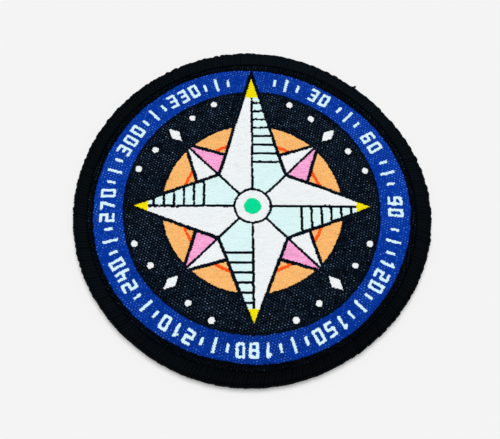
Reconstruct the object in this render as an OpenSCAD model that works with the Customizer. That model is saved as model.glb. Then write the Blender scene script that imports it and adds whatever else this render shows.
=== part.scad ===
// Round woven patch with an overlocked border and a hook tape underneath.
// Millimetres. The patch lies flat: the hooks' tips are at z = 0 and the face looks up.
// +Y is the top of the design, and the origin is the middle of the underside.

/* [Patch] */
// Diameter over the border
patch_d = 90; // [84:1:110]
// Width of the border, seen from above
border_w = 3.9; // [3.4:0.1:4.6]
// Height of the border
border_h = 2.85; // [2.6:0.05:3.4]
// Thickness of the border's threads where they go into the cloth
border_lip = 0.35; // [0.3:0.05:0.5]
// Thickness of the woven face
face_t = 0.8; // [0.6:0.05:0.9]
// Black strip of face between the border and the ring
strip_w = 1.4; // [1:0.1:3]

/* [Hook tape] */
// Thickness of the tape that carries the hooks
tape_t = 0.55; // [0.4:0.05:0.6]
// Height of the hooks below the tape
hook_h = 1.3; // [1:0.1:2]
// Distance from one row of hooks to the next
hook_pitch = 1.6; // [1.4:0.1:2.4]
// Width of a row of hooks
hook_row_w = 0.9; // [0.6:0.1:1.1]

/* [Colour areas] */
// Height of the coloured threads above the ground
thread_t = 0.2; // [0.15:0.05:0.4]
// Width of the black lines between the areas
line_w = 0.6; // [0.3:0.05:0.8]
// Width of the coloured ring
ring_w = 6.9; // [6.5:0.1:8]

/* [Numbers and ticks] */
// Height of a number
number_h = 3.9; // [3:0.1:4.4]
// Width of a digit
digit_w = 2.4; // [2:0.1:2.6]
// Space between two digits
digit_gap = 0.85; // [0.7:0.05:1]
// Width of the strokes and ticks
stroke_w = 0.8; // [0.5:0.05:0.9]
// Length of a short tick
tick_l = 2.2; // [1.5:0.1:3]
// Length of a long tick
long_tick_l = 3.9; // [3:0.1:4.4]

/* [Star] */
// Radius of the corners between two long points
corner_r = 12; // [8:0.2:13]
// Length of the yellow tip on the point at the top
top_tip_l = 7.2; // [4:0.2:10]
// Length of the yellow tips on the other long points
tip_l = 4.4; // [3:0.2:7]
// Distance between the black lines across a shaded half
hatch_pitch = 2.5; // [2:0.1:4]
// Radius of the white disc in the middle
hub_r = 4.3; // [3.5:0.1:5]
// Radius of the green dot
hub_dot_r = 2.15; // [1.5:0.05:2.6]

/* [Hidden] */
$fn = 96;

gap = 0.1;     // between pieces that lie side by side
far = 200;     // longer than anything here

// Heights, from the hooks' tips up
tape_z = hook_h;
face_z = tape_z + tape_t;
area_z = face_z + face_t;
border_z = (tape_z + area_z - border_h) / 2;

// Radii, from the edge inwards
patch_r = patch_d / 2;
inner_r = patch_r - border_w;            // the border's inner edge
cloth_r = patch_r - border_h / 2 - 2 * gap;
hook_r = inner_r - 0.6;
ring_out_r = inner_r - strip_w;
ring_in_r = ring_out_r - ring_w;
number_r = (ring_out_r + ring_in_r) / 2;

// Radii of the star, which the ring sets
top_r = ring_in_r + 0.83 * ring_w;       // the top point runs over the ring
point_r = ring_in_r - 2.1;
short_r = 0.74 * ring_in_r;
sun_out_r = 0.69 * ring_in_r;
sun_in_r = 0.4 * ring_in_r;
mark_r = 0.86 * ring_in_r;

// Long points: the turn from the top, the tip's radius and the length of its yellow end
TURN = 0;
TIP_R = 1;
TIP_L = 2;
long_points = [[0, top_r, top_tip_l],
               [90, point_r, tip_l],
               [180, point_r, tip_l],
               [270, point_r, tip_l]];
short_turns = [45, 135, 225, 315];

// Each digit's strokes run through these corners, across 0 to 1 and up 0 to 2
digits = [
    [[[0, 0], [1, 0], [1, 2], [0, 2], [0, 0]]],
    [[[0.5, 0], [0.5, 2]], [[0.5, 2], [0.1, 1.6]]],
    [[[0, 2], [1, 2], [1, 1], [0, 1], [0, 0], [1, 0]]],
    [[[0, 2], [1, 2], [1, 0], [0, 0]], [[0.2, 1], [1, 1]]],
    [[[0, 2], [0, 1], [1, 1]], [[1, 2], [1, 0]]],
    [[[1, 2], [0, 2], [0, 1], [1, 1], [1, 0], [0, 0]]],
    [[[1, 2], [0, 2], [0, 0], [1, 0], [1, 1], [0, 1]]],
    [[[0, 2], [1, 2], [0.4, 0]]],
    [[[0, 0], [1, 0], [1, 2], [0, 2], [0, 0]], [[0, 1], [1, 1]]],
    [[[0, 0], [1, 0], [1, 2], [0, 2], [0, 1], [1, 1]]]
];

// A compass card's numbers, every 30 degrees clockwise; the star's tip stands at 0
numbers = [for (a = [30:30:330]) a];
tick_turns = [10, 15, 20];
long_tick = 15;

// The digits of a number below 1000, the first one first
function digits_of(n) =
    n > 99 ? [floor(n / 100), floor(n / 10) % 10, n % 10] : [floor(n / 10), n % 10];

// A straight stroke from a to b with square ends, w wide
module stroke(a, b, w) {
    l = norm(b - a);
    translate(a) rotate(atan2(b[1] - a[1], b[0] - a[0]))
        translate([-w / 2, -w / 2]) square([l + w, w]);
}

// One digit with its lower left corner at the origin; the strokes are w wide
module digit(n, w) {
    sx = digit_w - stroke_w;
    sy = (number_h - stroke_w) / 2;
    translate([stroke_w / 2, stroke_w / 2])
        for (path = digits[n])
            for (i = [0:len(path) - 2])
                stroke([path[i][0] * sx, path[i][1] * sy],
                       [path[i + 1][0] * sx, path[i + 1][1] * sy], w);
}

module numbers_2d(w) {
    for (n = numbers) {
        d = digits_of(n);
        total = len(d) * digit_w + (len(d) - 1) * digit_gap;
        rotate(-n) translate([-total / 2, number_r - number_h / 2])
            for (i = [0:len(d) - 1])
                translate([i * (digit_w + digit_gap), 0]) digit(d[i], w);
    }
}

// Three ticks between two numbers; grow widens them on every side
module ticks_2d(grow) {
    for (a = [0:30:330])
        for (t = tick_turns) {
            l = t == long_tick ? long_tick_l : tick_l;
            rotate(-a - t) translate([0, number_r])
                square([stroke_w + 2 * grow, l + 2 * grow], center = true);
        }
}

// Half of a point of the star, right of its axis
module half_point(tip, corner) {
    polygon([[0, 0], [0, tip], [corner * sin(45), corner * cos(45)]]);
}

module long_half_2d(p, side) {
    rotate(-p[TURN]) mirror([side, 0]) half_point(p[TIP_R], corner_r);
}

module long_points_2d() {
    for (p = long_points)
        for (side = [0, 1])
            long_half_2d(p, side);
}

module short_half_2d(turn, side) {
    rotate(-turn) mirror([side, 0]) half_point(short_r, corner_r);
}

module short_points_2d() {
    for (t = short_turns)
        for (side = [0, 1])
            short_half_2d(t, side);
}

// What lies behind the long points: their outline and a black line round it
module long_outline_2d() {
    offset(delta = line_w) long_points_2d();
}

module hub_outline_2d() {
    circle(r = hub_r + line_w);
}

// The part of the plane outside radius r, turned to a long point: its tip
module beyond(p, r) {
    rotate(-p[TURN]) translate([-far / 2, r]) square([far, far]);
}

module ring_2d(outer, inner) {
    difference() {
        circle(r = outer);
        circle(r = inner);
    }
}

// Raises a flat shape to the height of the coloured threads
module area() {
    translate([0, 0, area_z]) linear_extrude(thread_t) children();
}

module hook_rows() {
    web = 0.25 * hook_h;
    side_rows = floor(hook_r / hook_pitch);
    color("#17181b") difference() {
        cylinder(r = hook_r, h = hook_h);
        for (i = [-side_rows - 1:side_rows])
            translate([i * hook_pitch + hook_row_w / 2, -far / 2, -1])
                cube([hook_pitch - hook_row_w, far, hook_h - web + 1]);
    }
}

module hook_tape() {
    color("#15161a") translate([0, 0, tape_z]) cylinder(r = cloth_r, h = tape_t);
}

module face_cloth() {
    color("#121b25") translate([0, 0, face_z]) cylinder(r = cloth_r, h = face_t);
}

// The border's section is round at the rim and gets thinner inwards, where the cloth goes in
module merrow_border() {
    rim_r = border_h / 2;
    slot_h = tape_t + face_t + 2 * gap;
    rim = [patch_r - rim_r, 0];
    lip = [inner_r + border_lip, slot_h / 2];
    across = rim - lip;
    turn = atan2(across[1], across[0]) + acos((border_lip - rim_r) / norm(across));
    out = [cos(turn), sin(turn)];        // square to the slope between rim and lip
    sink = 0.01;                         // the slope's ends lie this deep in the circles
    a = lip + (border_lip - sink) * out;
    b = rim + (rim_r - sink) * out;
    color("#07090f") translate([0, 0, border_z + rim_r]) rotate_extrude() difference() {
        union() {
            translate(rim) circle(r = rim_r);
            for (side = [-1, 1]) translate([lip[0], side * lip[1]]) circle(r = border_lip);
            polygon([[a[0], -a[1]], [b[0], -b[1]], b, a]);
        }
        translate([inner_r - 1, -slot_h / 2])
            square([cloth_r + gap - inner_r + 1, slot_h]);
    }
}

module ring_band() {
    color("#05309a") area() difference() {
        ring_2d(ring_out_r, ring_in_r);
        numbers_2d(stroke_w + 2 * gap);
        ticks_2d(gap);
        long_outline_2d();
    }
}

module ring_numbers() {
    color("#d9f3f4") area() numbers_2d(stroke_w);
}

module ring_ticks() {
    color("#d9f3f4") area() ticks_2d(0);
}

// One half of each long point, without its tip and the disc in the middle
module star_light() {
    color("#edf2f3") area() for (p = long_points)
        difference() {
            offset(delta = -line_w / 2) long_half_2d(p, 1);
            beyond(p, p[TIP_R] - p[TIP_L] - gap);
            hub_outline_2d();
        }
}

module star_shade() {
    color("#d9f3f4") area() for (p = long_points)
        difference() {
            offset(delta = -line_w / 2) long_half_2d(p, 0);
            beyond(p, p[TIP_R] - p[TIP_L] - gap);
            hub_outline_2d();
            for (y = [corner_r:hatch_pitch:p[TIP_R] - p[TIP_L] - hatch_pitch / 2])
                rotate(-p[TURN]) translate([-far / 2, y]) square([far, line_w]);
        }
}

module star_tips() {
    color("#f3e104") area() for (p = long_points)
        intersection() {
            offset(delta = -line_w / 2) rotate(-p[TURN]) union() {
                half_point(p[TIP_R], corner_r);
                mirror([1, 0]) half_point(p[TIP_R], corner_r);
            }
            beyond(p, p[TIP_R] - p[TIP_L]);
        }
}

// One half of each short point, as far as it stands out behind the long ones
module short_halves(side) {
    area() for (t = short_turns)
        difference() {
            offset(delta = -line_w / 2) short_half_2d(t, side);
            long_outline_2d();
        }
}

module short_light() {
    color("#edf2f3") short_halves(1);
}

module short_pink() {
    color("#f8a4d5") short_halves(0);
}

module sun_strokes_2d(grow) {
    middle_r = (sun_in_r + sun_out_r) / 2;
    ring_2d(middle_r + stroke_w / 2 + grow, middle_r - stroke_w / 2 - grow);
}

// The star and its black outline, which the orange ring goes behind
module star_outline_2d() {
    long_outline_2d();
    offset(delta = line_w) short_points_2d();
}

module sun_ring() {
    color("#f8b96e") area() difference() {
        ring_2d(sun_out_r, sun_in_r);
        sun_strokes_2d(gap);
        star_outline_2d();
    }
}

module sun_strokes() {
    color("#ff5a14") area() difference() {
        sun_strokes_2d(0);
        star_outline_2d();
    }
}

module hub_disc() {
    color("#edf2f3") area() ring_2d(hub_r, hub_dot_r + gap);
}

module hub_dot() {
    color("#05dd98") area() circle(r = hub_dot_r);
}

// A lozenge outside each short point and two dots on each side of it
module field_marks() {
    lozenge = [1.3, 2.4];
    dot_r = 0.8;
    color("#edf2f3") area() for (t = short_turns) {
        rotate(-t) translate([0, mark_r])
            polygon([[0, lozenge[1]], [lozenge[0], 0], [0, -lozenge[1]], [-lozenge[0], 0]]);
        for (side = [-26, -13, 13, 26])
            rotate(-t - side) translate([0, mark_r + abs(side) / 10]) circle(r = dot_r);
    }
}

hook_rows();
hook_tape();
face_cloth();
merrow_border();
ring_band();
ring_numbers();
ring_ticks();
star_light();
star_shade();
star_tips();
short_light();
short_pink();
sun_ring();
sun_strokes();
hub_disc();
hub_dot();
field_marks();
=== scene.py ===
import math
import bpy
import numpy as np
from mathutils import Matrix, Vector


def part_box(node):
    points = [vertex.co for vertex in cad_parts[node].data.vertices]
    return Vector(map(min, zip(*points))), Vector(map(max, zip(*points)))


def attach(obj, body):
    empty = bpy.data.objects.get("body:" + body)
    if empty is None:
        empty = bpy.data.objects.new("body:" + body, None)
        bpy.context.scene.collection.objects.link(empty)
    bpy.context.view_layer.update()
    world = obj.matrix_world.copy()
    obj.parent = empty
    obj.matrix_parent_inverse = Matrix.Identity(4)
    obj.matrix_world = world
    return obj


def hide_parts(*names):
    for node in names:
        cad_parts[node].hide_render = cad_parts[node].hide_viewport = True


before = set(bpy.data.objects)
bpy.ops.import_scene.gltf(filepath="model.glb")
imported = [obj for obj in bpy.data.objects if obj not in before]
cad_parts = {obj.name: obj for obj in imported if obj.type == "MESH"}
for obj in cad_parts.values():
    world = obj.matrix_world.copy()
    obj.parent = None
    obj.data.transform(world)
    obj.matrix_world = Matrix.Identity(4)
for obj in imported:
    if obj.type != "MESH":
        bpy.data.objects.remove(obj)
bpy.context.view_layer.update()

# Lengths are in millimetres and become metres where a mesh is made.
# +Y is the top of the design, and turns go clockwise from it in degrees.
mm = 0.001
rng = np.random.default_rng(41)


def outerR(node):
    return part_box(node)[1][0] / mm


def heights(node):
    low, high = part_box(node)
    return low[2] / mm, high[2] / mm


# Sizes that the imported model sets
patchR = outerR("merrow_border")
borderLow, borderHigh = heights("merrow_border")
ringOut = outerR("ring_band")
clothR = outerR("face_cloth")
tapeLow, tapeHigh = heights("hook_tape")
groundTop = heights("face_cloth")[1]
threadTop = heights("ring_band")[1]
hookR = outerR("hook_rows")
hubR = outerR("hub_disc")
dotR = outerR("hub_dot")


# Helpers for uneven shapes

def smoothStep(low, high, value):
    t = np.clip((value - low) / (high - low), 0, 1)
    return t * t * (3 - 2 * t)


def softNoise(x, y, cell, seed):
    # a smooth random field from -1 to 1 with its bumps one cell apart
    cells = 128   # it repeats after so many
    table = np.random.default_rng(seed).uniform(-1, 1, (cells, cells))
    u, v = np.asarray(x, float) / cell, np.asarray(y, float) / cell
    i, j = np.floor(u).astype(int), np.floor(v).astype(int)
    s, t = smoothStep(0, 1, u - i), smoothStep(0, 1, v - j)
    near = table[i % cells, j % cells] * (1 - s) + table[(i + 1) % cells, j % cells] * s
    far = table[i % cells, (j + 1) % cells] * (1 - s) + table[(i + 1) % cells, (j + 1) % cells] * s
    return near * (1 - t) + far * t


def noises(x, y, rows):
    # several soft noises in one: rows of size, cell and seed
    return sum(size * softNoise(x, y, cell, seed) for size, cell, seed in rows)


def turnOf(x, y):
    return np.degrees(np.arctan2(x, y))


def waves(turn, rows):
    # slow unevenness round a circle: rows of count, size and the turn of one crest
    return sum(size * np.cos(np.radians(count * (turn - crest))) for count, size, crest in rows)


# Helpers for meshes

def addObject(name, data):
    thing = bpy.data.objects.new(name, data)
    bpy.context.scene.collection.objects.link(thing)
    return thing


def quads(pieces, rows, columns, loop=False):
    # corner numbers of grids of rows x columns points; a loop joins the last column to the first
    count = columns if loop else columns - 1
    p, i, j = np.meshgrid(np.arange(pieces), np.arange(rows - 1), np.arange(count), indexing="ij")
    corners = [(i, j), (i + 1, j), (i + 1, j + 1), (i, j + 1)]
    return np.stack([(p * rows + a) * columns + b % columns for a, b in corners], -1).reshape(-1, 4)


def circle(sides):
    # evenly spaced angles, in radians
    return np.radians(np.arange(sides) * 360 / sides)


def tubeFaces(count, stations, sides, flip=False):
    # the walls and both end caps of tubes; flip turns every face over
    root = np.arange(count)[:, None] * stations * sides + np.arange(sides)
    tip = root[:, ::-1] + (stations - 1) * sides
    faces = [quads(count, stations, sides, loop=True), root, tip]
    return [f[:, ::-1] for f in faces] if flip else faces


def onCorners(grid, flip=False):
    # values on the points of grids, as one row per corner of their faces
    corner = quads(*grid.shape[:3])
    return grid.reshape(-1, 2)[corner[:, ::-1] if flip else corner].reshape(-1, 2)


def cellMap(count, wide, high, u, v, wall, cap):
    # one cell of a wide x high map for each tube: its wall fills a box and its caps share a disc there
    cell = np.arange(count)[:, None]
    column, line = cell % wide, cell // wide
    uv = np.zeros((count, *u.shape, 2))
    uv[..., 0] = (column[..., None] + wall[0] + wall[2] * u) / wide
    uv[..., 1] = (line[..., None] + wall[1] + wall[3] * v) / high
    around = circle(u.shape[1] - 1)
    disc = np.zeros((count, len(around), 2))
    disc[..., 0] = (column + cap[0]) / wide + cap[2] * np.cos(around) / wide
    disc[..., 1] = (line + cap[1]) / high + cap[3] * np.sin(around) / high
    return uv, disc.reshape(-1, 2)


def perThread(values):
    # one value for each thread, ready to meet its stations and the points across it
    return values[:, None, None]


def onPoints(values, points):
    # values of threads or of their stations, for each of their points
    return np.broadcast_to(values, points.shape[:-1]).ravel()


def allRows(*grids):
    # the rows of several grids, one after the other
    return np.concatenate([grid.reshape(-1, grid.shape[-1]) for grid in grids])


def fibreRuns(along, across, shape):
    # millimetres along and across threads, each from its own place in the fibre pattern
    patternSize = 40
    run = np.zeros((*shape, 2))
    for side, place in enumerate((along, across)):
        run[..., side] = place + perThread(rng.uniform(0, patternSize, shape[0]))
    return run


def buildMesh(name, points, faceSets, bakeMap, threadRun, values=None):
    # points in mm, faceSets are arrays of faces with equal corner counts, both maps hold a pair per corner
    mesh = bpy.data.meshes.new(name)
    points = points.reshape(-1, 3)
    corners = np.concatenate([f.ravel() for f in faceSets])
    sizes = np.concatenate([np.full(len(f), f.shape[1]) for f in faceSets])
    starts = np.cumsum(sizes) - sizes
    mesh.vertices.add(len(points))
    mesh.vertices.foreach_set("co", (points * mm).astype(np.float32).ravel())
    mesh.loops.add(len(corners))
    mesh.loops.foreach_set("vertex_index", corners.astype(np.int32))
    mesh.polygons.add(len(sizes))
    mesh.polygons.foreach_set("loop_start", starts.astype(np.int32))
    mesh.polygons.foreach_set("use_smooth", np.ones(len(sizes), bool))
    for label, uv in (("OFBake", bakeMap), ("threadRun", threadRun)):
        layer = mesh.uv_layers.new(name=label)
        layer.data.foreach_set("uv", uv.astype(np.float32).ravel())
    for label, value in (values or {}).items():
        attribute = mesh.attributes.new(label, "FLOAT", "POINT")
        attribute.data.foreach_set("value", value.astype(np.float32).ravel())
    mesh.update(calc_edges=True)
    mesh.validate()
    return addObject(name, mesh)


def dress(piece, node, material):
    # what every piece of the patch gets
    piece.data.materials.append(material)
    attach(piece, "root")
    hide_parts(node)
    return piece


# Camera

view = {
    "azimuth": -6.1,      # degrees, from the -Y side towards +X
    "elevation": 68.37,
    "roll": 5.93,         # counterclockwise
    "distance": 182.44,   # from the origin
    "lens": 51.4,
    "shiftX": -0.00464,
    "shiftY": -0.01892,
}


def aimCamera():
    azimuth, elevation, roll = [math.radians(view[key]) for key in ("azimuth", "elevation", "roll")]
    back = Vector((math.sin(azimuth) * math.cos(elevation),
                   -math.cos(azimuth) * math.cos(elevation),
                   math.sin(elevation)))
    right = Vector((math.cos(azimuth), math.sin(azimuth), 0))
    up = back.cross(right)
    rolledRight = right * math.cos(roll) + up * math.sin(roll)
    rolledUp = up * math.cos(roll) - right * math.sin(roll)
    data = bpy.data.cameras.new("camera")
    data.sensor_width = 36
    data.lens = view["lens"]
    data.shift_x = view["shiftX"]
    data.shift_y = view["shiftY"]
    data.clip_start = 0.001
    place = Matrix((rolledRight, rolledUp, back)).transposed().to_4x4()
    place.translation = back * view["distance"] * mm
    camera = addObject("camera", data)
    camera.matrix_world = place
    bpy.context.scene.camera = camera


aimCamera()
print("camera set")


# Shader helpers

def setInputs(tree, node, values):
    # each value is a socket to link from, a number or a colour
    for name, value in values.items():
        if isinstance(value, bpy.types.NodeSocket):
            tree.links.new(value, node.inputs[name])
        else:
            node.inputs[name].default_value = value


def addNode(tree, kind, inputs=None, **settings):
    node = tree.nodes.new("ShaderNode" + kind)
    for name, value in settings.items():
        setattr(node, name, value)
    setInputs(tree, node, inputs or {})
    return node


def calculate(tree, operation, *values):
    return addNode(tree, "Math", dict(enumerate(values)), operation=operation).outputs[0]


def newGroup(name, inputs, outputs):
    # inputs give each socket's first value, outputs what each one is
    group = bpy.data.node_groups.new(name, "ShaderNodeTree")
    for label, value in inputs.items():
        kind = "NodeSocketColor" if isinstance(value, tuple) else "NodeSocketFloat"
        socket = group.interface.new_socket(name=label, in_out="INPUT", socket_type=kind)
        socket.default_value = value
    for label, kind in outputs.items():
        group.interface.new_socket(name=label, in_out="OUTPUT", socket_type=kind)
    return group, group.nodes.new("NodeGroupInput"), group.nodes.new("NodeGroupOutput")


def shade(red, green, blue):
    # a screen colour from 0 to 255 as Blender's linear colour
    channels = [c / 255 for c in (red, green, blue)]
    linear = [c / 12.92 if c < 0.04045 else ((c + 0.055) / 1.055) ** 2.4 for c in channels]
    return (*linear, 1)


def makeFibreGroup():
    # fine fibres along a thread; threadRun holds millimetres along and across it
    group, enter, leave = newGroup("fibreRelief", {"Along": 1.2, "Across": 16, "Twist": 0},
                                   {"Height": "NodeSocketFloat", "Mask": "NodeSocketFloat"})
    uv = addNode(group, "UVMap", uv_map="threadRun")
    split = addNode(group, "SeparateXYZ", {0: uv.outputs[0]})
    slid = calculate(group, "MULTIPLY_ADD", split.outputs[0], enter.outputs["Twist"], split.outputs[1])
    along = calculate(group, "MULTIPLY", split.outputs[0], enter.outputs["Along"])
    across = calculate(group, "MULTIPLY", slid, enter.outputs["Across"])
    joined = addNode(group, "CombineXYZ", {0: along, 1: across})
    fibre = addNode(group, "TexNoise", {"Vector": joined.outputs[0], "Scale": 1, "Detail": 2},
                    noise_dimensions="2D")
    mask = addNode(group, "MapRange", {"Value": fibre.outputs["Fac"], "From Min": 0.3, "From Max": 0.7})
    setInputs(group, leave, {"Height": fibre.outputs["Fac"], "Mask": mask.outputs[0]})
    return group


def makeYarnGroup():
    # a thread's colour: each thread a little lighter or darker, and the tie points in their own colour
    grey = (0.5, 0.5, 0.5, 1)
    group, enter, leave = newGroup("yarnColour", {"Thread": grey, "Tie": grey, "Fibre": 0.5,
                                                  "Thread Spread": 0.1, "Fibre Spread": 0.1},
                                   {"Colour": "NodeSocketColor"})
    tie = addNode(group, "Attribute", attribute_name="binding")
    tone = addNode(group, "Attribute", attribute_name="threadTone")
    # in a Mix node, inputs 6 and 7 and output 2 are the colours
    mix = addNode(group, "Mix", {0: tie.outputs["Fac"], 6: enter.outputs["Thread"],
                                 7: enter.outputs["Tie"]}, data_type="RGBA")
    lightness = calculate(group, "MULTIPLY_ADD", tone.outputs["Fac"], enter.outputs["Thread Spread"], 1)
    centred = calculate(group, "SUBTRACT", enter.outputs["Fibre"], 0.5)
    streak = calculate(group, "MULTIPLY_ADD", centred, enter.outputs["Fibre Spread"], 1)
    factor = calculate(group, "MULTIPLY", lightness, streak)
    scaled = addNode(group, "VectorMath", {0: mix.outputs[2], "Scale": factor}, operation="SCALE")
    setInputs(group, leave, {"Colour": scaled.outputs[0]})
    return group


fibreRelief = makeFibreGroup()
yarnColour = makeYarnGroup()


def yarnMaterial(name, changes):
    look = {**threadLook, **changes}
    material = bpy.data.materials.new(name)
    material.use_nodes = True
    tree = material.node_tree
    fibre = addNode(tree, "Group", {
        "Along": look["along"], "Across": look["across"], "Twist": look["twist"]}, node_tree=fibreRelief)
    colour = addNode(tree, "Group", {
        "Thread": look["thread"], "Tie": look["tie"], "Fibre": fibre.outputs["Mask"],
        "Thread Spread": look["threadSpread"], "Fibre Spread": look["fibreSpread"]}, node_tree=yarnColour)
    rough = addNode(tree, "MapRange", {
        "Value": fibre.outputs["Mask"], "To Min": look["roughness"] - look["roughSpread"],
        "To Max": look["roughness"] + look["roughSpread"]})
    bump = addNode(tree, "Bump", {
        "Height": fibre.outputs["Height"], "Strength": look["bump"], "Distance": look["fibreDepth"] * mm})
    setInputs(tree, tree.nodes["Principled BSDF"], {
        "Base Color": colour.outputs["Colour"], "Roughness": rough.outputs[0],
        "Specular IOR Level": look["gloss"], "Normal": bump.outputs[0]})
    return material


# What all the threads share; a colour changes only what it names
threadLook = {
    "thread": shade(240, 244, 246),
    "tie": shade(229, 234, 237),   # where a warp thread shows over the weft
    "threadSpread": 0.03,          # how much lighter or darker single threads are
    "fibreSpread": 0.06,           # and the fibres in a thread
    "along": 1.2,                  # fibre bumps in a millimetre along a thread
    "across": 16,                  # and across it
    "twist": 0.0,                  # millimetres that the fibres run aside in each one along
    "roughness": 0.55,
    "roughSpread": 0.08,
    "fibreDepth": 0.012,           # millimetres
    "bump": 0.5,
    "gloss": 0.25,
}
threadLooks = {
    "black_cloth": {"thread": shade(9, 20, 33), "tie": shade(90, 112, 135), "threadSpread": 0.7,
                    "fibreSpread": 1.4, "along": 2.2, "across": 7, "gloss": 0.012},
    "blue_thread": {"thread": shade(0, 50, 151), "tie": shade(92, 150, 236), "threadSpread": 0.22,
                    "gloss": 0.03},
    "white_thread": {},
    "ice_thread": {"thread": shade(222, 247, 247), "tie": shade(200, 232, 234)},
    "yellow_thread": {"thread": shade(246, 228, 4), "tie": shade(214, 180, 2), "gloss": 0.04},
    "pink_thread": {"thread": shade(252, 170, 217), "tie": shade(205, 112, 170), "threadSpread": 0.16,
                    "gloss": 0.1},
    "green_thread": {"thread": shade(4, 223, 154), "tie": shade(4, 190, 128), "gloss": 0.03},
    "orange_thread": {"thread": shade(249, 185, 110), "tie": shade(255, 222, 150), "threadSpread": 0.08,
                      "fibreSpread": 0.3, "along": 2.2, "across": 5, "gloss": 0.1},
    "red_thread": {"thread": shade(255, 88, 18), "tie": shade(205, 60, 8), "threadSpread": 0.08,
                   "gloss": 0.08},
}
threadMaterials = {slot: yarnMaterial(slot, look) for slot, look in threadLooks.items()}

# Two areas differ a little from their colour: the black outside the ring and the figures on the blue
stripLook = {**threadLooks["black_cloth"], "thread": shade(4, 9, 15), "fibreSpread": 0.8}
figureLook = {"thread": shade(217, 246, 253), "tie": shade(194, 230, 244)}
figureMaterial = yarnMaterial("ice_thread_figures", figureLook)
pieceMaterials = {
    "groundWeaveStrip": yarnMaterial("black_cloth_strip", stripLook),
    "numberWeave": figureMaterial,
    "tickWeave": figureMaterial,
}
print("thread materials made")


# The design, laid out as the solids are

design = {
    "ringW": 6.9,          # width of the blue ring
    "lineW": 0.6,          # black lines between the colours
    "lineSwell": 0.05,     # the lines' threads swell this far into the colours
    "strokeW": 0.8,        # strokes of the digits, and ticks
    "spread": 0.05,        # their threads swell this far past their cells
    "numberStep": 30,      # degrees from one number to the next
    "numberH": 3.9,
    "digitW": 2.4,
    "digitGap": 0.85,
    "tickTurns": (10, 15, 20),   # degrees past a number
    "longTick": 15,
    "tickL": 2.2,
    "longTickL": 3.9,
    "cornerR": 12,         # corners between two long points
    "topTipL": 7.2,        # yellow end of the point at the top
    "tipL": 4.4,           # yellow ends of the other long points
    "hatchPitch": 2.5,     # black lines across the shaded halves
    "topReach": 0.83,      # how far the top point runs over the ring, as a share of its width
    "pointInset": 2.1,     # from the ring to the other long points
    "shortShare": 0.74,    # radii as shares of the ring's inner radius
    "sunOutShare": 0.69,
    "sunInShare": 0.4,
    "markShare": 0.86,
    "lozenge": (1.3, 2.4),
    "dot": 0.8,
    "dotTurns": (-26, -13, 13, 26),   # degrees from the lozenge
    "dotRise": 0.1,        # a dot lies this much further out for each of them
}
ringIn = ringOut - design["ringW"]
numberR = (ringOut + ringIn) / 2
topR = ringIn + design["topReach"] * design["ringW"]
pointR = ringIn - design["pointInset"]
shortR = design["shortShare"] * ringIn
sunOut = design["sunOutShare"] * ringIn
sunIn = design["sunInShare"] * ringIn
markR = design["markShare"] * ringIn
# Turn, radius and yellow end of each long point, and the turns of the short ones
longPoints = [(0, topR, design["topTipL"])] + [(turn, pointR, design["tipL"]) for turn in (90, 180, 270)]
shortTurns = [45, 135, 225, 315]

# Each digit's strokes run through these corners, across 0 to 1 and up 0 to 2
digits = [
    [[(0, 0), (1, 0), (1, 2), (0, 2), (0, 0)]],
    [[(0.5, 0), (0.5, 2), (0.1, 1.6)]],
    [[(0, 2), (1, 2), (1, 1), (0, 1), (0, 0), (1, 0)]],
    [[(0, 2), (1, 2), (1, 0), (0, 0)], [(0.2, 1), (1, 1)]],
    [[(0, 2), (0, 1), (1, 1)], [(1, 2), (1, 0)]],
    [[(1, 2), (0, 2), (0, 1), (1, 1), (1, 0), (0, 0)]],
    [[(1, 2), (0, 2), (0, 0), (1, 0), (1, 1), (0, 1)]],
    [[(0, 2), (1, 2), (0.4, 0)]],
    [[(0, 0), (1, 0), (1, 2), (0, 2), (0, 0)], [(0, 1), (1, 1)]],
    [[(0, 0), (1, 0), (1, 2), (0, 2), (0, 1), (1, 1)]],
]

# The cloth is a little drawn, and so are the edges of the colours: size, cell and seed of each noise
edgesAlongX = [(0.05, 1.1, 3), (0.10, 6.0, 4)]
edgesAlongY = [(0.09, 0.45, 5), (0.10, 6.5, 6)]

# The ring's edges wander: count, size in mm and crest turn of each slow wave
ringOutWaves = [(0, -0.08, 0), (1, 0.1, -127), (2, 0.17, -78), (3, 0.19, -23), (4, 0.22, -17), (5, 0.07, 11)]
ringInWaves = [(1, 0.045, 25), (2, 0.20, -4), (3, 0.12, 12), (4, 0.08, -37), (5, 0.09, 0), (6, 0.05, 2)]

# Each colour area: the node it stands for, its piece and its material slot
areas = [
    ("face_cloth", "groundWeave", "black_cloth"),
    ("ring_band", "ringWeave", "blue_thread"),
    ("ring_ticks", "tickWeave", "ice_thread"),
    ("ring_numbers", "numberWeave", "ice_thread"),
    ("sun_ring", "sunWeave", "orange_thread"),
    ("sun_strokes", "sunStrokeWeave", "red_thread"),
    ("short_light", "shortLightWeave", "white_thread"),
    ("short_pink", "shortPinkWeave", "pink_thread"),
    ("star_light", "starLightWeave", "white_thread"),
    ("star_shade", "starShadeWeave", "ice_thread"),
    ("star_tips", "starTipWeave", "yellow_thread"),
    ("hub_disc", "hubWeave", "white_thread"),
    ("hub_dot", "hubDotWeave", "green_thread"),
    ("field_marks", "markWeave", "white_thread"),
]
areaNodes = [node for node, piece, slot in areas]


def turnedTo(x, y, turn):
    # coordinates whose +Y points to that turn
    a = math.radians(turn)
    return x * math.cos(a) - y * math.sin(a), x * math.sin(a) + y * math.cos(a)


def strokeDistance(x, y, a, b):
    # from each place to the straight line between two corners
    dx, dy = b[0] - a[0], b[1] - a[1]
    t = np.clip(((x - a[0]) * dx + (y - a[1]) * dy) / (dx * dx + dy * dy), 0, 1)
    return np.hypot(x - a[0] - t * dx, y - a[1] - t * dy)


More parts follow.
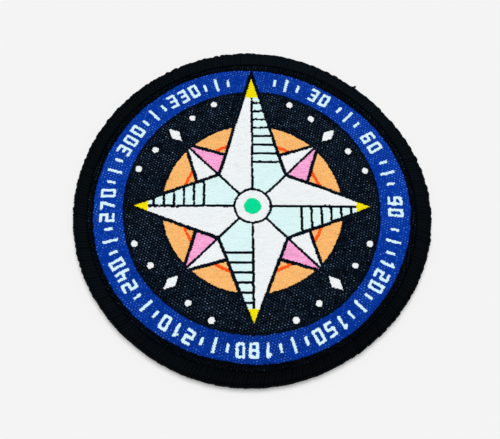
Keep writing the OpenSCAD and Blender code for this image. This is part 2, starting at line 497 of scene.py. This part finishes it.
def pointDepth(x, y, tip):
    # how far inside a whole point of the star a place is, its axis along +Y
    k = design["cornerR"] * math.sin(math.radians(45))
    side = (y - abs(x)) / math.sqrt(2)
    edge = ((tip - y) * k - abs(x) * (tip - k)) / math.hypot(k, tip - k)
    return np.minimum(side, edge)


def paintDesign(x, y):
    # the number of the colour area at each place, laid from the back to the front
    d = design
    x = x + noises(x, y, edgesAlongX)
    y = y + noises(x, y, edgesAlongY)
    r = np.hypot(x, y)
    bearing = turnOf(x, y)
    area = np.zeros(x.shape, int)
    stroke = d["strokeW"] / 2 - d["spread"]
    swell = d["lineSwell"]
    halfLine = d["lineW"] / 2 + swell

    def lay(node, where):
        area[where] = areaNodes.index(node)

    inRing = (r < ringOut + waves(bearing, ringOutWaves)) & (r > ringIn + waves(bearing, ringInWaves))
    lay("ring_band", inRing)
    for start in range(0, 360, d["numberStep"]):
        for step in d["tickTurns"]:
            length = d["longTickL"] if step == d["longTick"] else d["tickL"]
            u, v = turnedTo(x, y, start + step)
            lay("ring_ticks", (abs(u) < stroke) & (abs(v - numberR) < length / 2 - d["spread"]))
    wide = d["digitW"] - d["strokeW"]
    high = (d["numberH"] - d["strokeW"]) / 2
    for number in range(d["numberStep"], 360, d["numberStep"]):
        figures = [int(c) for c in str(number)]
        total = len(figures) * d["digitW"] + (len(figures) - 1) * d["digitGap"]
        u, v = turnedTo(x, y, number)
        v = v - numberR + high
        for place, figure in enumerate(figures):
            left = place * (d["digitW"] + d["digitGap"]) - total / 2 + d["strokeW"] / 2
            for path in digits[figure]:
                corners = [(a * wide + left, b * high) for a, b in path]
                for a, b in zip(corners, corners[1:]):
                    lay("ring_numbers", strokeDistance(u, v, a, b) < stroke)
    lay("sun_ring", (r < sunOut) & (r > sunIn))
    lay("sun_strokes", abs(r - (sunOut + sunIn) / 2) < d["strokeW"] / 2)
    for turn in shortTurns:
        u, v = turnedTo(x, y, turn)
        depth = pointDepth(u, v, shortR)
        lay("face_cloth", depth > -d["lineW"])
        inner = np.minimum(depth, abs(u)) > halfLine
        lay("short_pink", inner & (u > 0))
        lay("short_light", inner & (u < 0))
    for turn, tip, tipL in longPoints:
        u, v = turnedTo(x, y, turn)
        lay("face_cloth", pointDepth(u, v, tip) > -d["lineW"])
    for turn, tip, tipL in longPoints:
        u, v = turnedTo(x, y, turn)
        depth = pointDepth(u, v, tip)
        inner = (np.minimum(depth, abs(u)) > halfLine) & (v < tip - tipL)
        fromCorner = v - d["cornerR"] + swell
        hatch = (fromCorner > 0) & (fromCorner % d["hatchPitch"] < 2 * halfLine)
        hatch &= v < tip - tipL - d["hatchPitch"] / 2 + d["lineW"] + swell
        lay("star_light", inner & (u < 0))
        lay("star_shade", inner & (u > 0) & ~hatch)
        lay("star_tips", (depth > halfLine) & (v >= tip - tipL))
    lay("face_cloth", r < hubR + d["lineW"])
    lay("hub_disc", r < hubR - swell)
    lay("hub_dot", r < dotR)
    for turn in shortTurns:
        u, v = turnedTo(x, y, turn)
        lay("field_marks", abs(u) / d["lozenge"][0] + abs(v - markR) / d["lozenge"][1] < 1)
        for side in d["dotTurns"]:
            u, v = turnedTo(x, y, turn + side)
            lay("field_marks", np.hypot(u, v - markR - abs(side) * d["dotRise"]) < d["dot"])
    return area


# The weave: weft threads float along X and warp threads tie them down in a satin order

weave = {
    "endPitch": 0.15,      # warp threads, along X
    "pickPitch": 0.228,    # weft threads, along Y
    "repeat": 14,          # warp threads from one tie to the next in a row
    "shift": 5,            # how far the ties move along from row to row
    "reach": 41.9,         # radius of the cloth's face, ending under the border
    "groundDrop": 0.03,    # black threads lie this much lower than the colours
    "floatAcross": (-0.58, -0.2, 0.2, 0.58),   # a float's points, in pick pitches
    "overrun": 0.03,       # a float runs this far under its neighbours
    "tieDip": 0.16,        # a float's ends go down this far at a tie
    "changeDip": 0.09,     # and this far where the colour changes
    "shoulder": 0.015,     # and this far where its rounded end begins
    "ramp": 0.26,          # length of that end
    "edgeDrop": 0.065,     # a float's edges lie this much lower than its middle
    "lift": 0.012,         # a thread lies higher or lower by chance
    "tieAlong": (-0.8, -0.34, 0.34, 0.8),      # a tie's points, in pick pitches
    "tieHalf": 0.135,      # half of a tie's width
    "tieDive": 0.13,       # its ends go down this far
    "tieEdge": 0.05,       # and its edges
    "tieSink": 0.02,       # it lies this much lower by chance
    "relief": 0.035,       # slow unevenness of the face
    "press": 0.15,         # the border presses the cloth down this far
    "pressFrom": 40.7,     # between these radii
    "pressTo": 41.5,
    "halo": 1.3,           # ties on the black hardly show this close to a colour or the border
    "haloShares": (0.3, 0.02),   # with these shares of colour around it, a tie shows a trace or all
    "trace": 0.1,
    "stripHush": 0.09,     # in the quiet parts of the strip, most of that trace goes too
    "teeth": 1,            # this many threads on each side of a tie keep its colour
}

# The threads are drawn along Y too, slowly over the face and finely from thread to thread
threadsAlongY = [(0.08, 8.0, 12), (0.06, 0.9, 13)]

# How much of a tie shows at least, and how much more or less in slow patches
tieShows = {
    "others": {"least": 0.14, "patch": 0.22},
    "blue_thread": {"least": 0.02, "patch": 0.3},
    "orange_thread": {"least": 0.0, "patch": 0.3},
}
tiePatches = [(1, 4.5, 21), (0.6, 1.4, 22)]   # size, cell and seed of each noise
tieChance = 0.85   # how much more by chance
tieSkew = 2.5      # most ties show little and a few show much

# How much lighter or darker a colour gets round the face: count, size and crest turn of each wave
slowTones = {"blue_thread": [(0, 0.06, 0), (1, 0.085, 0), (2, 0.08, 90)]}

# Painted shade: how much darker a float gets from its middle to its ends, where it dives, in thread spreads
floatEndShade = {"black_cloth": 1.4}
darkest = 0.9      # but never more than by this share

# How much of the ties is left in the strip outside the ring: count, size and crest turn of each wave
stripTies = [(0, 0.37, 0), (1, 0.12, -35), (2, 0.3, 86), (4, 0.14, -7)]


def threadHeight(x, runs):
    # top of the threads: the slow relief takes 0.2 to 1 times its size off it
    w = weave
    press = w["press"] * smoothStep(w["pressFrom"], w["pressTo"], np.hypot(x, runs["y"]))
    relief = w["relief"] * (0.6 + 0.4 * softNoise(x, runs["y"], 7.0, 11))
    return threadTop - relief - press - np.where(runs["area"] == 0, w["groundDrop"], 0)


def boxShare(mask, down, across):
    # the share of a mask in the box round each cell
    share = mask.astype(float)
    for axis, half in ((0, down), (1, across)):
        width = [(0, 0), (0, 0)]
        width[axis] = (half + 1, half)
        total = np.cumsum(np.pad(share, width), axis)
        size = mask.shape[axis]
        high = np.take(total, range(2 * half + 1, 2 * half + 1 + size), axis)
        share = (high - np.take(total, range(size), axis)) / (2 * half + 1)
    return share


def findRuns():
    # floats and ties of the whole face, one row each
    w = weave
    lastEnd, lastPick = int(w["reach"] / w["endPitch"]), int(w["reach"] / w["pickPitch"])
    ends = np.arange(-lastEnd, lastEnd + 1)
    picks = np.arange(-lastPick, lastPick + 1)
    i, j = np.meshgrid(ends, picks)
    x, y = i * w["endPitch"], j * w["pickPitch"]
    inside = np.hypot(x, y) < w["reach"]
    inside[:, [0, -1]] = False
    halfRepeat = w["repeat"] // 2
    fromTie = (i - w["shift"] * j + halfRepeat) % w["repeat"] - halfRepeat
    tie = fromTie == 0
    bound = np.where(abs(fromTie) <= w["teeth"], fromTie, 0) * w["endPitch"]
    area = np.where(inside, paintDesign(x - bound, y), -1)
    breaks = (area[:, 1:] != area[:, :-1]) | tie[:, 1:] | tie[:, :-1]
    halo = [int(w["halo"] / w[p]) for p in ("pickPitch", "endPitch")]
    bare = smoothStep(*w["haloShares"], boxShare(area != 0, *halo))
    strip = np.clip(waves(turnOf(x, y), stripTies), 0, 1)
    bare = np.where(np.hypot(x, y) > numberR, bare * strip - w["stripHush"] * (1 - strip), bare)
    edge = np.ones((len(picks), 1), bool)
    first = np.flatnonzero(inside & np.hstack([edge, breaks]))
    last = np.flatnonzero(inside & np.hstack([breaks, edge]))
    row, start = np.divmod(first, len(ends))
    end = last % len(ends)
    return {
        "area": area[row, start],
        "y": picks[row] * w["pickPitch"],
        "x0": (ends[start] - 0.5) * w["endPitch"],
        "x1": (ends[end] + 0.5) * w["endPitch"],
        "tie": tie[row, start],
        "bare": bare[row, start],   # 1 away from the colours and the border, 0 close to them
        "dip0": np.where(tie[row, start - 1], w["tieDip"], w["changeDip"]),
        "dip1": np.where(tie[row, end + 1], w["tieDip"], w["changeDip"]),
    }


def floatGrid(runs):
    # each float is a ribbon of 5 stations along X, with 4 points across
    w = weave
    x0, x1 = runs["x0"] - w["overrun"], runs["x1"] + w["overrun"]
    middle, y = (x0 + x1) / 2, perThread(runs["y"])
    ramp = np.minimum(w["ramp"], 0.38 * (x1 - x0))   # a short float has shorter ends
    along = np.stack([x0, x0 + ramp, middle, x1 - ramp, x1], 1)[..., None]
    shoulder = np.full(len(x0), w["shoulder"])
    sink = np.stack([runs["dip0"], shoulder, 0 * x0, shoulder, runs["dip1"]], 1)[..., None]
    across = np.array(w["floatAcross"])
    bend = np.array([w["edgeDrop"], 0, 0, w["edgeDrop"]])
    height = threadHeight(middle, runs) + rng.uniform(-w["lift"], w["lift"], len(x0))
    points = np.zeros((*along.shape[:2], len(across), 3))
    points[..., 0] = along
    points[..., 1] = y + across * w["pickPitch"]
    points[..., 1] += noises(along, y, threadsAlongY)
    points[..., 2] = perThread(height) - sink - bend
    # in the map, a float keeps to its own cells
    flat = points[..., :2].copy()
    flat[..., 0] = np.clip(flat[..., 0], perThread(runs["x0"]), perThread(runs["x1"]))
    flat[..., 1] = y + np.clip(across, -0.5, 0.5) * w["pickPitch"]
    return points, flat, fibreRuns(along, across * w["pickPitch"], points.shape[:3])


def tieGrid(runs):
    # each tie is a short warp thread over one pick, 4 points along Y and 3 across
    w = weave
    middle = (runs["x0"] + runs["x1"]) / 2
    along = np.array(w["tieAlong"])[:, None] * w["pickPitch"]
    across = np.array([w["tieHalf"], 0, -w["tieHalf"]])
    dive = np.array([w["tieDive"], 0, 0, w["tieDive"]])[:, None]
    bend = np.array([w["tieEdge"], 0, w["tieEdge"]])
    height = threadHeight(middle, runs) + rng.uniform(-w["tieSink"], w["lift"], len(middle))
    points = np.zeros((len(middle), len(along), len(across), 3))
    points[..., 0] = perThread(middle) + across
    points[..., 1] = perThread(runs["y"] + noises(middle, runs["y"], threadsAlongY)) + along
    points[..., 2] = perThread(height) - dive - bend
    # in the map, a tie keeps to its own cell
    flat = points[..., :2].copy()
    flat[..., 0] = perThread(middle) + np.array([0.5, 0, -0.5]) * w["endPitch"]
    flat[..., 1] = perThread(runs["y"]) + np.array([-0.5, -0.3, 0.3, 0.5])[:, None] * w["pickPitch"]
    return points, flat, fibreRuns(along, across, points.shape[:3])


def planarMap(flat):
    # the piece seen from above, filling its own square
    low, high = flat.min(0), flat.max(0)
    return 0.01 + 0.98 * (flat - low) / (high - low).max()


def choose(runs, chosen):
    return {key: value[chosen] for key, value in runs.items()}


def weavePiece(name, runs, slot):
    tieShow = tieShows.get(slot, tieShows["others"])
    spread = {**threadLook, **threadLooks[slot]}["threadSpread"]
    floats, ties = choose(runs, ~runs["tie"]), choose(runs, runs["tie"])
    floatPoints, floatFlat, floatRun = floatGrid(floats)
    tiePoints, tieFlat, tieRun = tieGrid(ties)
    points = allRows(floatPoints, tiePoints)
    flat = allRows(floatFlat, tieFlat)
    run = allRows(floatRun, tieRun)
    tiesFrom = floatPoints[..., 0].size
    faces = np.concatenate([quads(*floatPoints.shape[:3]), quads(*tiePoints.shape[:3]) + tiesFrom])
    # each thread has its own tone, and painted shade darkens a float off its middle, where it dives
    ends = floatEndShade.get(slot, 0) * np.array([1, 1, 0, 1, 1])[:, None]
    floatTone = np.maximum(perThread(rng.uniform(-1, 1, len(floats["y"]))) - ends, -darkest / spread)
    tieTone = perThread(rng.uniform(-1, 1, len(ties["y"])))
    tone = np.concatenate([onPoints(floatTone, floatPoints), onPoints(tieTone, tiePoints)])
    tone += waves(turnOf(points[:, 0], points[:, 1]), slowTones.get(slot, [])) / spread
    # how strongly each tie shows: by chance and in slow patches, and less on black near a colour
    patch = noises(ties["x0"], ties["y"], tiePatches)
    chance = rng.random(len(ties["y"])) ** tieSkew
    shows = np.clip(tieShow["least"] + tieChance * chance + tieShow["patch"] * patch, 0, 1)
    shows *= np.where(ties["area"] == 0, weave["trace"] + (1 - weave["trace"]) * ties["bare"], 1)
    binding = np.concatenate([np.zeros(tiesFrom), onPoints(perThread(shows), tiePoints)])
    return buildMesh(name, points, [faces], planarMap(flat)[faces], run[faces],
                     {"threadTone": tone, "binding": binding})


def weaveFace():
    runs = findRuns()
    pieces = []
    for number, (node, name, slot) in enumerate(areas):
        mine = runs["area"] == number
        parts = {name: mine}
        if node == "face_cloth":   # black lies in the strip outside the ring and in the field inside it
            middle = (runs["x0"] + runs["x1"]) / 2
            outside = np.hypot(middle, runs["y"]) > numberR
            parts = {name + "Strip": mine & outside,
                     name + "Left": mine & ~outside & (middle < 0),
                     name + "Right": mine & ~outside & (middle >= 0)}
        for part, chosen in parts.items():
            piece = weavePiece(part, choose(runs, chosen), slot)
            pieces.append(dress(piece, node, pieceMaterials.get(part, threadMaterials[slot])))
    return pieces


weavePieces = weaveFace()
print("face woven:", sum(len(p.data.polygons) for p in weavePieces) * 2, "triangles")


# The cloth under the face threads and the hook tape are round sheets

def roundSheet(name, radius, low, high, columns, rows, ribs=0.0, ribPitch=1.0):
    # a closed disc; points of each side lie on straight columns along Y that end at the rim
    across = np.linspace(-1, 1, columns)
    x = radius * np.sin(across * math.pi / 2)
    y = np.linspace(-1, 1, rows)[None, :] * np.sqrt(np.maximum(radius ** 2 - x ** 2, 0.01))[:, None]
    x = np.repeat(x[:, None], rows, 1)
    inner = 1 - smoothStep(radius - 2, radius, np.hypot(x, y))
    rib = ribs * inner * (0.5 + 0.5 * np.cos(2 * math.pi * x / ribPitch))
    top = np.stack([x, y, np.full_like(x, high)], -1)
    bottom = np.stack([x, y, low + rib], -1)
    side = columns * rows
    faces = [quads(1, columns, rows), quads(1, columns, rows)[:, ::-1] + side]
    number = np.arange(side).reshape(columns, rows)
    rim = np.concatenate([number[:, 0], number[-1, 1:], number[::-1, -1][1:], number[0, ::-1][1:-1]])
    nextRim = np.roll(rim, -1)
    faces.append(np.stack([rim + side, nextRim + side, nextRim, rim], 1))
    points = allRows(top, bottom)
    faces = np.concatenate(faces)
    flat = points[:, :2] / (2 * radius)
    # the two sides lie beside each other in the map, the rim in a thin strip above them
    half = np.where(np.arange(len(points)) < side, 0.0, 0.5)
    uv = np.stack([0.25 + half + 0.48 * flat[:, 0], 0.3 + 0.48 * flat[:, 1]], -1)[faces]
    strip = np.arange(len(rim)) / len(rim)
    level = np.array([0.62, 0.62, 0.66, 0.66])
    rimAlong = np.stack([strip, strip + 1 / len(rim), strip + 1 / len(rim), strip], 1)
    uv[-len(rim):] = np.stack([0.01 + 0.98 * rimAlong, np.broadcast_to(level, rimAlong.shape)], -1)
    return buildMesh(name, points, [faces], uv, points[:, 1::-1][faces])


faceGround = roundSheet("faceGround", clothR, tapeHigh, groundTop, columns=61, rows=61)
dress(faceGround, "face_cloth", threadMaterials["black_cloth"])
print("cloth laid")


# The hook tape and its hooks

hooks = {
    "rowPitch": 1.6,
    "hookPitch": 1.3,      # along a row
    "inset": 0.5,          # the field ends this far inside its solid
    "rowInset": 0.2,       # and each row a little earlier
    "offset": 0.22,        # hooks stand alternately left and right of the row's line
    "lean": 0.035,         # how far a hook leans by chance
    "wire": 0.1,           # radius of the wire
    "thickness": (1.3, 1, 1, 1, 1, 1, 1, 0.8),   # times that radius, from the root to the tip
    "root": 0.05,          # the wire starts this far inside the tape
    "halfWay": 0.85,       # height of a station on its straight part
    "curl": 0.3,           # radius of the hook's bend
    "tip": 0.22,           # length of the free end
    "sides": 5,
    "tapeRib": 0.06,       # the tape's ribs, two for each row of hooks
}
tapeLook = {"thread": shade(16, 18, 22), "tie": shade(30, 32, 36), "threadSpread": 0.2, "fibreSpread": 0.7,
            "along": 3, "across": 4, "roughness": 0.7, "fibreDepth": 0.06, "gloss": 0.15}
hookLook = {"thread": shade(18, 19, 23), "tie": shade(30, 32, 36), "threadSpread": 0.25, "fibreSpread": 0.2,
            "along": 1, "across": 3, "roughness": 0.38, "fibreDepth": 0.01, "gloss": 0.4}
tapeMaterial = yarnMaterial("hook_tape_cloth", tapeLook)
hookMaterial = yarnMaterial("hook_nylon", hookLook)


def hookPath():
    # one hook from the tape down: across, height and the direction of the wire
    h = hooks
    bend = h["wire"] + h["curl"]
    angle = np.radians([180, 225, 270, 315, 360])
    curlX = h["curl"] * (1 + np.cos(angle))
    curlZ = bend + h["curl"] * np.sin(angle)
    x = np.concatenate([[0, 0], curlX, [2 * h["curl"]]])
    z = np.concatenate([[tapeLow + h["root"], h["halfWay"]], curlZ, [bend + h["tip"]]])
    tangentX = np.concatenate([[0, 0], -np.sin(angle), [0]])
    tangentZ = np.concatenate([[-1, -1], np.cos(angle), [1]])
    return x, z, tangentX, tangentZ


def makeHooks():
    h = hooks
    rows = int(hookR / h["rowPitch"])
    places = []
    for row in range(-rows, rows + 1):
        rowX = row * h["rowPitch"]
        reach = math.sqrt(max((hookR - h["inset"]) ** 2 - rowX ** 2, 0)) - h["rowInset"]
        inRow = int(2 * reach / h["hookPitch"])
        for k in range(inRow):
            hand = 1 if (k + row) % 2 else -1
            places.append((rowX, (k - (inRow - 1) / 2) * h["hookPitch"], hand))
    rowX, rowY, hand = [perThread(value) for value in np.array(places).T]
    count = len(places)
    x, z, tangentX, tangentZ = [value[:, None] for value in hookPath()]
    stations, sides = len(x), h["sides"]
    around = circle(sides)
    size = h["wire"] * np.array(h["thickness"])[:, None]
    outX = x - size * np.cos(around) * tangentZ
    outZ = z + size * np.cos(around) * tangentX
    lean = rng.normal(0, h["lean"], (count, 2, 1, 1))
    away = (tapeLow - outZ) / tapeLow
    points = np.zeros((count, stations, sides, 3))
    points[..., 0] = rowX + hand * (outX - h["offset"]) + lean[:, 0] * away
    points[..., 1] = rowY + size * np.sin(around) * hand + lean[:, 1] * away
    points[..., 2] = outZ
    cells = math.ceil(math.sqrt(count))
    u, v = np.meshgrid(np.arange(sides + 1) / (sides + 1), np.arange(stations) / stations)
    uv, capUv = cellMap(count, cells, cells, u, v, wall=(0.08, 0.08, 0.8, 0.8), cap=(0.95, 0.95, 0.03, 0.03))
    wallUv = onCorners(uv)
    bake = np.concatenate([wallUv, capUv, capUv])
    # a hook's wall is about 3 mm long and 0.6 mm round
    wallRun = np.stack([wallUv[:, 1] * cells * 3, wallUv[:, 0] * cells * 0.6], 1)
    run = np.concatenate([wallRun, capUv * cells, capUv * cells])
    tone = onPoints(perThread(rng.uniform(-1, 1, count)), points)
    piece = buildMesh("hookField", points, tubeFaces(count, stations, sides), bake, run,
                      {"threadTone": tone})
    return dress(piece, "hook_rows", hookMaterial)


hookField = makeHooks()
tape = roundSheet("hookTape", clothR, tapeLow, tapeHigh, columns=241, rows=41,
                  ribs=hooks["tapeRib"], ribPitch=hooks["rowPitch"] / 2)
dress(tape, "hook_tape", tapeMaterial)
print("hooks made:", len(hookField.data.polygons), "faces")


# The overlocked border

border = {
    "width": 3.9,          # seen from above
    "gap": 0.1,            # to the face and the tape in its slot
    "lip": 0.35,           # its thickness where its threads go into the cloth
    "dive": 20,            # degrees past level that they turn down there
    "stitchPitch": 0.85,   # at the rim
    "halfWide": 0.58,      # of a stitch's thread
    "halfThick": 0.2,
    "lean": 1.1,           # how far a stitch runs along the rim on its way over the top
    "leanWave": 0.9,       # the part of half a sine wave that it follows
    "stations": 18,
    "crowding": 0.3,       # how much closer together they are at the lips
    "sides": 8,
    "unevenSize": 0.1,     # stitches are wider or narrower by this share
    "slip": 0.1,           # and lie this far off their place along the rim
    "pairLift": 0.05,      # in some stretches every second stitch stands this much prouder
    "pairCell": 25,        # degrees from one such stretch to the next
    "lipLift": 0.35,       # the share of all this lift that is left at the lips
    "mapLines": 6,
    "core": 0.3,           # the core under the threads is this much smaller
    "coreStations": 20,
    "coreTurns": 240,
}
# Slow waves round the rim, each a row of count, size and crest turn:
# how far it stands out, how much the stitches' height varies, and how much lighter a painted sheen makes
# them
rimWaves = [(0, 0.06, 0), (1, 0.22, 0), (3, 0.26, -24), (4, 0.20, 2), (5, 0.06, 19), (6, 0.04, 11)]
liftWaves = [(0, 0.125, 0), (1, 0.06, 20)]
sheenWaves = [(0, 0.2, 0), (1, 0.37, 5), (2, 0.23, 44), (3, 0.12, 3)]
borderLook = {"thread": shade(4, 8, 12), "tie": shade(4, 8, 12), "threadSpread": 0.12, "fibreSpread": 0.3,
              "along": 0.9, "across": 9, "twist": 0.5, "roughness": 0.5, "fibreDepth": 0.05, "gloss": 0.014}
borderMaterial = yarnMaterial("black_thread", borderLook)


def borderSection(inset, count):
    # the border's outline from its upper lip over the rim to its lower lip, with outward normals
    b = border
    rimR = (borderHigh - borderLow) / 2
    middle = (borderHigh + borderLow) / 2
    rimX = patchR - rimR
    lipX = patchR - b["width"] + b["lip"]
    lipZ = (groundTop - tapeLow) / 2 + b["gap"]
    slope = math.atan2(-lipZ, rimX - lipX) + math.acos((b["lip"] - rimR) / math.hypot(rimX - lipX, lipZ))
    end = math.radians(180 + b["dive"])
    arcs = [(lipX, lipZ, b["lip"], end, slope),
            (rimX, 0, rimR, slope, -slope),
            (lipX, -lipZ, b["lip"], -slope, -end)]
    outline = []
    for x, z, radius, start, stop in arcs:
        angle = np.linspace(start, stop, 60)   # fine enough to take even stations from
        normalR, normalZ = np.cos(angle), np.sin(angle)
        size = radius - inset
        outline.append([x + size * normalR, middle + z + size * normalZ, normalR, normalZ])
    outline = np.concatenate(outline, 1)
    length = np.concatenate([[0], np.cumsum(np.hypot(np.diff(outline[0]), np.diff(outline[1])))])
    t = np.linspace(-1, 1, count)
    s = length[-1] * (0.5 + 0.5 * t * (1 + b["crowding"] - b["crowding"] * t ** 2))
    return (*[np.interp(s, length, value) for value in outline], s)


def placeRound(r, z, turn, shift=0.0):
    # shift runs along the rim
    a = np.radians(turn) + shift / patchR
    return np.stack([r * np.sin(a), r * np.cos(a), z + 0 * a], -1)


def rimShift(turn, r):
    # the rim wanders slowly, and its inner edge follows a little
    share = np.clip((r - (patchR - border["width"])) / border["width"], 0, 1)
    return waves(turn, rimWaves) * (0.25 + 0.75 * share)


def borderPiece(*mesh):
    return dress(buildMesh(*mesh), "merrow_border", borderMaterial)


def makeBorder():
    b = border
    stations, sides, lines = b["stations"], b["sides"], b["mapLines"]
    count = round(2 * math.pi * patchR / b["stitchPitch"])
    r, z, normalR, normalZ, s = [value[:, None] for value in borderSection(b["halfThick"], stations)]
    turn = perThread(np.arange(count) * 360 / count)
    share = s / s[-1]
    along = b["lean"] * np.sin(np.pi * (share - 0.5) * b["leanWave"])
    around = circle(sides)
    size = 1 + b["unevenSize"] * rng.uniform(-1, 1, (count, 1, 1))
    lift = waves(turn, liftWaves) * rng.uniform(-1, 1, (count, 1, 1))
    pairs = (-1.0) ** perThread(np.arange(count))
    lift += b["pairLift"] * pairs * softNoise(turn, 0 * turn, b["pairCell"], 31)
    slip = b["slip"] * rng.uniform(-1, 1, (count, 1, 1))
    across = b["halfWide"] * size * np.cos(around) * (r / patchR)
    bulge = b["lipLift"] + (1 - b["lipLift"]) * np.maximum(normalR, 0)   # most uneven at the rim
    outward = b["halfThick"] * np.sin(around) + lift * bulge
    radius = r + outward * normalR + rimShift(turn, r)
    points = placeRound(radius, z + outward * normalZ, turn, across + along + slip)
    # the stitches lie side by side in the map, in a few lines
    perLine = math.ceil(count / lines)
    u, v = np.meshgrid(np.arange(sides + 1) / sides, share)
    uv, capUv = cellMap(count, perLine, lines, u, v, wall=(0.06, 0.05, 0.88, 0.88),
                        cap=(0.5, 0.965, 0.3, 0.02))
    run = fibreRuns(s, 2.4 * u, uv.shape[:3])   # a thread is about 2.4 mm round
    bake = np.concatenate([onCorners(uv, flip=True), capUv, capUv])
    threads = np.concatenate([onCorners(run, flip=True), capUv * 10, capUv * 10])
    # each stitch has its own tone, and a painted sheen makes the rim slowly lighter or darker round the
    # patch
    tone = rng.uniform(-1, 1, (count, 1, 1)) + waves(turn, sheenWaves) / borderLook["threadSpread"]
    return borderPiece("borderStitches", points, tubeFaces(count, stations, sides, flip=True),
                       bake, threads, {"threadTone": onPoints(tone, points)})


def makeBorderCore():
    # a smooth ring under the stitches, open inwards where the cloth goes in
    b = border
    r, z, normalR, normalZ, s = borderSection(b["core"], b["coreStations"])
    slotR = clothR + b["gap"]
    r = np.concatenate([r, [slotR, slotR]])
    z = np.concatenate([z, [z[-1], z[0]]])
    count, wide = b["coreTurns"], len(r)
    turn = (np.arange(count) * 360 / count)[:, None]
    points = placeRound(r + rimShift(turn, r), z[None, :], turn)
    faces = quads(1, count + 1, wide, loop=True)[:, ::-1] % (count * wide)
    u, v = np.meshgrid(np.linspace(0, 1, wide + 1), np.linspace(0, 1, count + 1))
    bake = onCorners(0.01 + 0.98 * np.stack([v, u], -1)[None], flip=True)
    # the ring is about 282 mm long and its outline 12 mm
    return borderPiece("borderCore", points, [faces], bake, bake * (282, 12))


# The cut end of the border's thread stands out of the rim

cutEnd = {
    "turn": 38.4,
    "height": 2.2,
    "thick": 0.42,         # radius of the frayed thread
    "root": 0.45,          # it starts this far inside the rim
    "reach": 0.95,         # and is this long
    "taper": 0.35,         # its tip is thinner by this share
    "rise": 0.25,
    "bend": 0.3,           # along the rim
    "stations": 7,
    "sides": 8,
}


def makeThreadEnd():
    # a short tapered tube
    c = cutEnd
    sides = c["sides"]
    share = np.linspace(0, 1, c["stations"])[:, None]
    around = circle(sides)
    thick = c["thick"] * (1 - c["taper"] * share ** 2)
    radius = patchR - c["root"] + c["reach"] * share + rimShift(c["turn"], patchR)
    height = c["height"] + c["rise"] * share ** 2 + thick * np.sin(around)
    points = placeRound(radius, height, c["turn"], c["bend"] * share ** 2 + thick * np.cos(around))
    # in the map, the wall fills the left and both caps lie on the right
    u, v = np.meshgrid(np.linspace(0, 1, sides + 1), share)
    wall = onCorners(np.stack([u, v], -1)[None], flip=True) * (0.8, 0.98) + 0.01
    disc = 0.04 * np.stack([np.cos(around), np.sin(around)], 1)
    bake = np.concatenate([wall, disc + (0.92, 0.2), disc + (0.92, 0.7)])
    return borderPiece("threadEnd", points, tubeFaces(1, len(share), sides, flip=True),
                       bake, bake * (1.5, 1.2))


borderPieces = [makeBorder(), makeBorderCore(), makeThreadEnd()]
print("border sewn:", sum(len(p.data.polygons) for p in borderPieces), "faces")


# Floor and light

studio = {
    "floor": shade(243, 243, 243),
    "floorReach": 3.0,     # metres to each side
    "skyLight": 0.1,
    "backdrop": 0.9,       # what the camera sees beyond the floor
    "lampElevation": 87.6,   # degrees above the floor, on the +Y side
    "lampSide": -25,       # degrees from +Y towards +X
    "lampSpread": 50,      # degrees that the lamp covers, as a large softbox does
    "lampStrength": 2.87,
}


def makeFloor():
    mesh = bpy.data.meshes.new("floor")
    reach = studio["floorReach"]
    corners = [(-reach, -reach, 0), (reach, -reach, 0), (reach, reach, 0), (-reach, reach, 0)]
    mesh.from_pydata(corners, [], [(0, 1, 2, 3)])
    material = bpy.data.materials.new("floorPaper")
    material.use_nodes = True
    tree = material.node_tree
    setInputs(tree, tree.nodes["Principled BSDF"], {"Base Color": studio["floor"], "Roughness": 0.9,
                                                    "Specular IOR Level": 0})
    mesh.materials.append(material)
    addObject("floor", mesh)


def makeLight():
    s = studio
    elevation, side = math.radians(s["lampElevation"]), math.radians(s["lampSide"])
    away = Vector((math.sin(side) * math.cos(elevation), math.cos(side) * math.cos(elevation),
                   math.sin(elevation)))
    data = bpy.data.lights.new("softbox", "SUN")
    data.angle = math.radians(s["lampSpread"])
    data.energy = s["lampStrength"]
    lamp = addObject("softbox", data)
    lamp.location = away
    lamp.rotation_euler = away.to_track_quat("Z", "Y").to_euler()
    world = bpy.data.worlds.new("studio")
    world.use_nodes = True
    tree = world.node_tree
    tree.nodes.clear()
    path = addNode(tree, "LightPath")
    strength = addNode(tree, "MapRange", {"Value": path.outputs["Is Camera Ray"],
                                          "To Min": s["skyLight"], "To Max": s["backdrop"]})
    sky = addNode(tree, "Background", {"Color": (1, 1, 1, 1), "Strength": strength.outputs[0]})
    addNode(tree, "OutputWorld", {0: sky.outputs[0]})
    bpy.context.scene.world = world
    bpy.context.scene.view_settings.view_transform = "Standard"


makeFloor()
makeLight()
print("studio ready")
